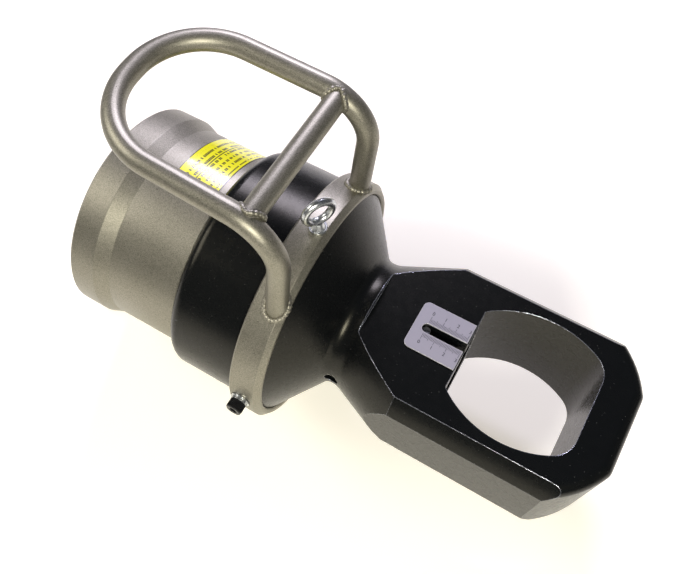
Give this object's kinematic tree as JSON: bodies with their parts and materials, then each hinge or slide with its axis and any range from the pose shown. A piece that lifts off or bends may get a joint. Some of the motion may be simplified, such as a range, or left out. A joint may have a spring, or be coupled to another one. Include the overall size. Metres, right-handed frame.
{
  "type": "hydraulic nut splitter",
  "caption": "Hydraulic nut splitter: a ram drives a chisel into a flat head's window, with a swivelling carrying handle, lifting eye and scale slot.",
  "frame": {"origin": "centre of the anvil's flat face, on the ram's axis", "axes": "+X along the ram's axis towards the head's tip, +Z square to the head's flats on the handle's side, +Y completes the right-handed set"},
  "size_m": [0.47, 0.2212, 0.299],
  "materials": {
    "black_coat": "satin",
    "bronze_paint": "speckled satin metallic",
    "zinc_plate": "bright zinc",
    "black_oxide": "black oxide",
    "plate_aluminium": "matt with printed marks",
    "label_foil": "gloss",
    "tool_steel": "ground",
    "machined_steel": "machined",
    "chrome_rod": "hard chrome",
    "spring_steel": "oiled spring steel",
    "bearing_bronze": "bearing bronze",
    "seal_rubber": "matt",
    "backup_plastic": "matt",
    "cap_plastic": "matt"
  },
  "bodies": {
    "frame": {"head_frame": "black_coat", "neck_screw": "black_oxide", "scale_plate": "plate_aluminium", "guide_bush": "bearing_bronze", "rod_wiper": "seal_rubber", "spring_seat": "machined_steel", "cylinder_barrel": "bronze_paint", "barrel_label": "label_foil", "return_spring": "spring_steel", "coupler_body": "zinc_plate", "poppet_spring": "spring_steel"},
    "ram": {"piston": "machined_steel", "piston_seal": "seal_rubber", "piston_backup_ring": "backup_plastic", "piston_wear_ring": "backup_plastic", "ram_rod": "chrome_rod", "piston_bolt": "black_oxide", "blade": "tool_steel", "blade_screw": "black_oxide", "guide_pin": "tool_steel"},
    "collar": {"handle_collar": "bronze_paint", "handle_tube": "bronze_paint", "handle_cross_bar": "bronze_paint", "handle_welds": "bronze_paint", "eye_bolt": "zinc_plate", "lock_screw": "black_oxide", "lock_washer": "zinc_plate", "lock_spring_washer": "zinc_plate"},
    "coupler_ring": {"coupler_collar": "zinc_plate"},
    "cap": {"dust_cap": "cap_plastic"},
    "poppet": {"coupler_poppet": "machined_steel"}
  },
  "joints": [
    {"name": "ram_slide", "type": "slide", "parent": "frame", "child": "ram", "axis": [1, 0, 0], "range_m": [0, 0.032], "stiffness_N_per_m": 4000, "springref_m": -0.03, "deforming": ["return_spring"]},
    {"name": "collar_turn", "type": "hinge", "parent": "frame", "child": "collar", "pos_m": [-0.2241, 0, 0], "axis": [1, 0, 0], "continuous": true},
    {"name": "coupler_collar_spin", "type": "hinge", "parent": "frame", "child": "coupler_ring", "pos_m": [-0.425, 0, -0.045], "axis": [1, 0, 0], "continuous": true},
    {"name": "dust_cap_pull", "type": "slide", "parent": "coupler_ring", "child": "cap", "axis": [-1, 0, 0], "range_m": [0, 0.024]},
    {"name": "coupler_poppet_press", "type": "slide", "parent": "frame", "child": "poppet", "axis": [1, 0, 0], "range_m": [0, 0.004], "stiffness_N_per_m": 2000, "springref_m": -0.002, "deforming": ["poppet_spring"]}
  ]
}
